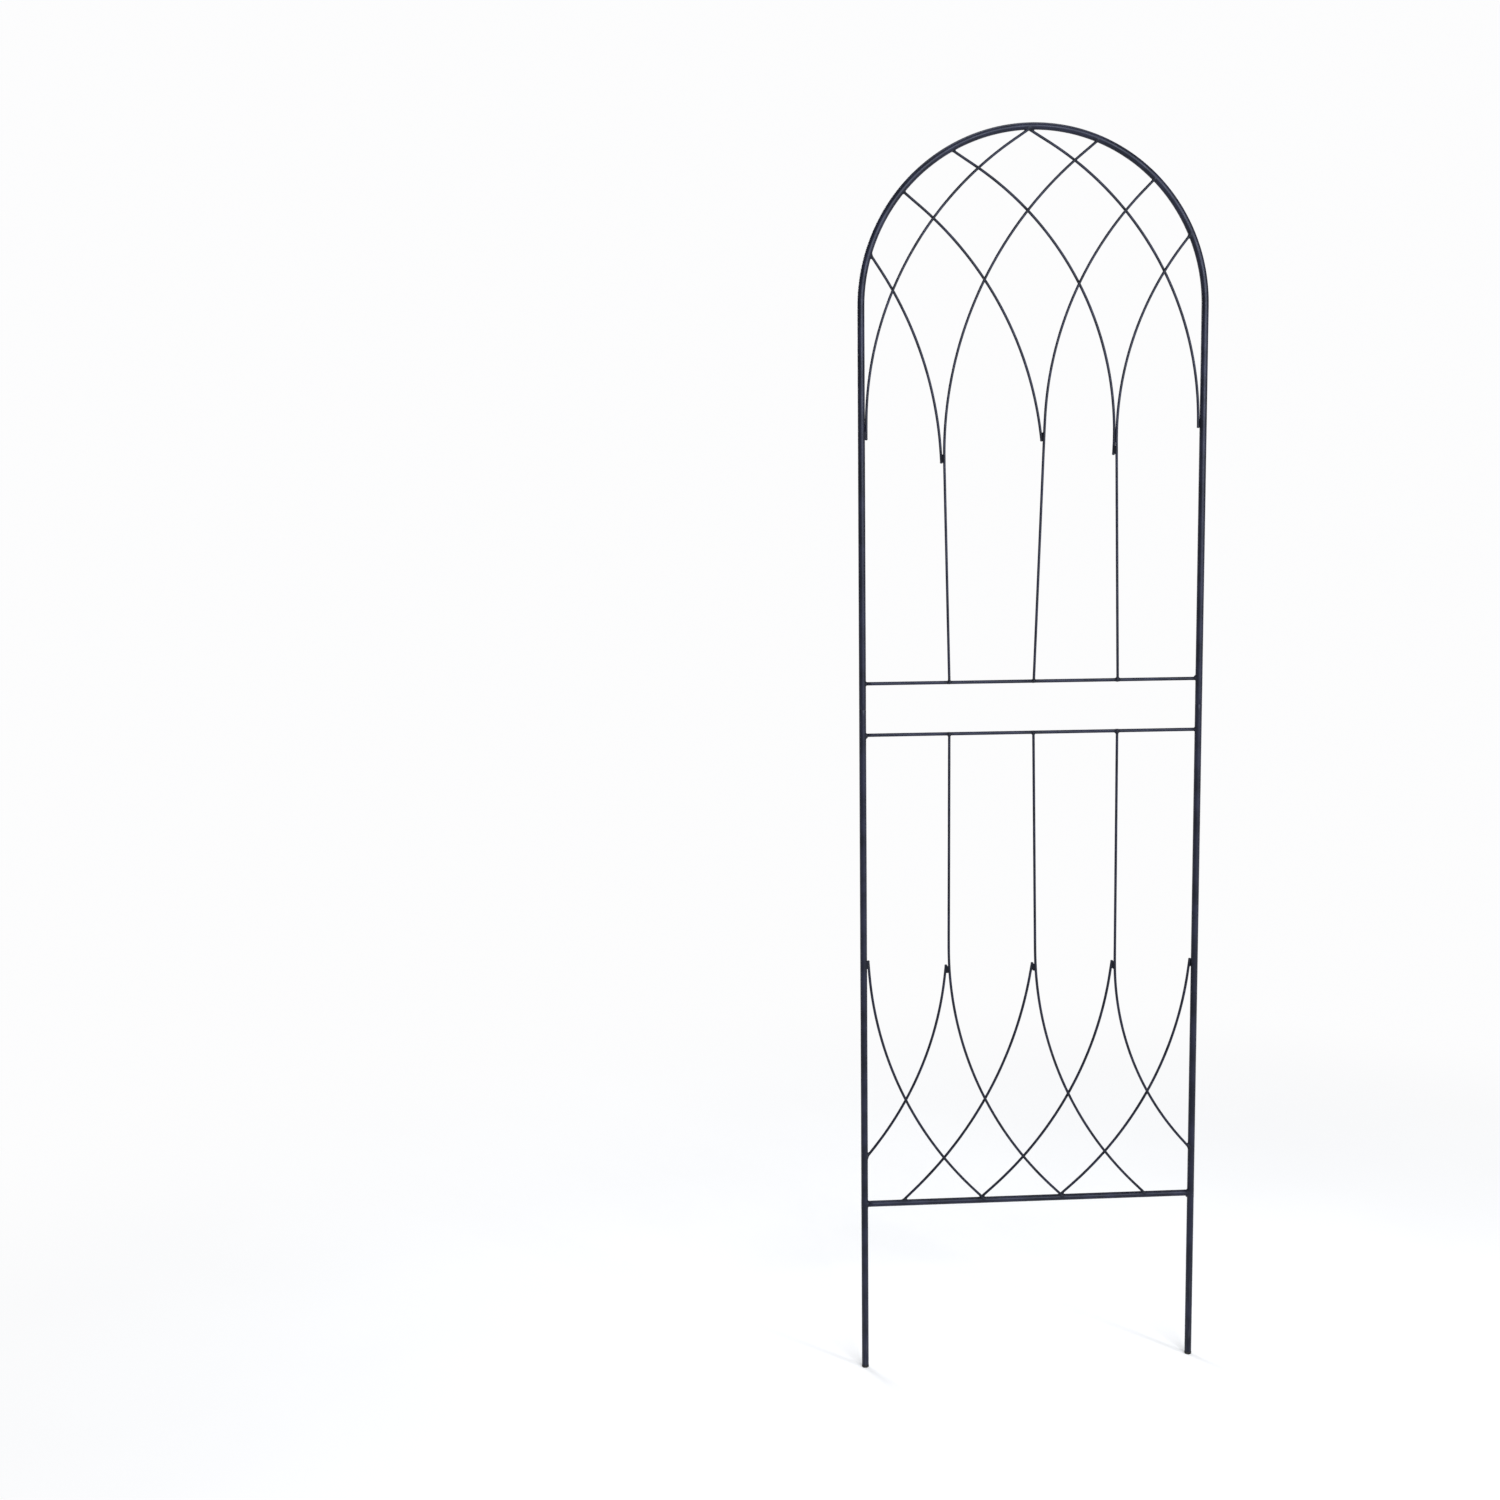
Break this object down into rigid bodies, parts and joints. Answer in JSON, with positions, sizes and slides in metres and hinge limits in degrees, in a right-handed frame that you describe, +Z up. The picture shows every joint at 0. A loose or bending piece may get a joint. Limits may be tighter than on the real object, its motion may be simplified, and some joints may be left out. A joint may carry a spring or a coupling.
{
  "type": "trellis arch panel",
  "caption": "Flat arched garden trellis of welded steel tube and wire, in two sections that plug together, with legs that push into the ground.",
  "frame": {"origin": "midway between the two leg tips, on the ground plane of the tips", "axes": "+Z up the panel to the crown of the arch, +X across the panel to the right as seen from the front, +Y through the panel's thickness to the back"},
  "size_m": [0.5004, 0.0104, 1.7999],
  "materials": {
    "tube": "satin powder coat",
    "crossbar": "satin powder coat",
    "wire": "satin powder coat",
    "weld": "powder coat over the weld",
    "leg_plug": "matt moulded"
  },
  "bodies": {
    "lower_section": {"left_leg": "tube", "right_leg": "tube", "left_leg_plug": "leg_plug", "right_leg_plug": "leg_plug", "bottom_bar": "tube", "lower_crossbar": "crossbar", "lower_right_wire_1": "wire", "lower_right_wire_2": "wire", "lower_right_wire_3": "wire", "lower_right_wire_4": "wire", "lower_left_wire_1": "wire", "lower_left_wire_2": "wire", "lower_left_wire_3": "wire", "lower_left_wire_4": "wire", "lower_lap_welds": "weld"},
    "upper_section": {"arch_tube": "tube", "upper_crossbar": "crossbar", "upper_right_wire_1": "wire", "upper_right_wire_2": "wire", "upper_right_wire_3": "wire", "upper_right_wire_4": "wire", "upper_left_wire_1": "wire", "upper_left_wire_2": "wire", "upper_left_wire_3": "wire", "upper_left_wire_4": "wire", "upper_lap_welds": "weld"}
  },
  "joints": [
    {"name": "section_slide", "type": "slide", "parent": "lower_section", "child": "upper_section", "axis": [0, 0, 1], "range_m": [0, 0.06]}
  ]
}
